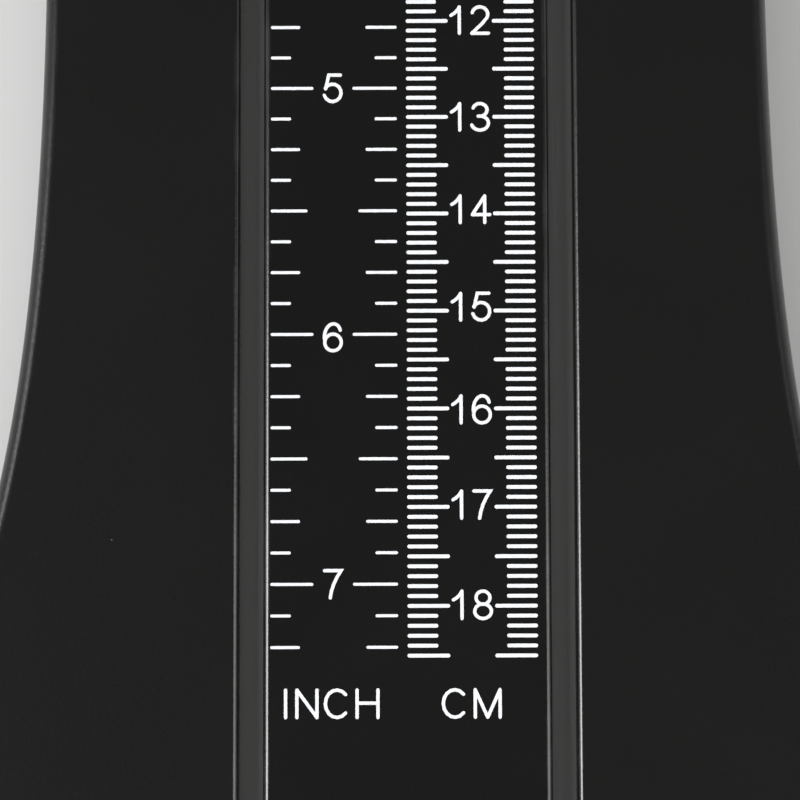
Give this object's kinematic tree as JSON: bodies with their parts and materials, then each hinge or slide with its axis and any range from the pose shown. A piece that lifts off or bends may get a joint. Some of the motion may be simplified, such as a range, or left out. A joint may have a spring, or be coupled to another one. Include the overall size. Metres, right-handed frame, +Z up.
{
  "type": "foot measuring device",
  "caption": "Foot length gauge: a flared black deck with a heel cup, a printed inch and centimetre ruler between two grooves, and a toe slider that runs along it.",
  "frame": {"origin": "centre of the plan outline, on the surface the rubber feet stand on", "axes": "+X across the foot with the centimetre scale on the +X side, +Y towards the heel cup, +Z up"},
  "size_m": [0.0966, 0.261, 0.048],
  "materials": {
    "deck_plastic": "satin moulded black ABS with a very fine texture",
    "tray_plastic": "matte moulded black ABS",
    "ruler_plastic": "smooth satin black plate with printed white marks",
    "white_ink": "matte white screen-printed ink",
    "rail_plastic": "matte dark grey moulded nylon",
    "cup_plastic": "satin moulded black ABS with a very fine texture",
    "zinc_steel": "zinc-plated steel",
    "foot_rubber": "soft matte black rubber",
    "stop_rubber": "soft matte black rubber",
    "slider_plastic": "satin moulded black ABS with a very fine texture",
    "clear_acrylic": "clear polished acrylic",
    "red_ink": "thin red printed line",
    "shoe_nylon": "slippery black nylon",
    "grip_rubber": "soft ribbed black rubber"
  },
  "bodies": {
    "gauge_body": {"top_shell": "deck_plastic", "bottom_tray": "tray_plastic", "scale_plate": "ruler_plastic", "scale_ticks": "white_ink", "scale_numerals": "white_ink", "unit_letters": "white_ink", "guide_rail_left": "rail_plastic", "guide_rail_right": "rail_plastic", "heel_cup": "cup_plastic", "tray_screws": "zinc_steel", "heel_cup_screws": "zinc_steel", "foot_heel_left": "foot_rubber", "foot_heel_right": "foot_rubber", "foot_toe_left": "foot_rubber", "foot_toe_right": "foot_rubber", "heel_stop_left": "stop_rubber", "heel_stop_right": "stop_rubber", "toe_stop_left": "stop_rubber", "toe_stop_right": "stop_rubber"},
    "toe_slider": {"slider_body": "slider_plastic", "cursor_lens": "clear_acrylic", "cursor_hairline": "red_ink", "shoe_left": "shoe_nylon", "shoe_right": "shoe_nylon", "shoe_screws": "zinc_steel", "thumb_grip": "grip_rubber"}
  },
  "joints": [
    {"name": "toe_slide", "type": "slide", "parent": "gauge_body", "child": "toe_slider", "axis": [0, -1, 0], "range_m": [0, 0.12]}
  ]
}
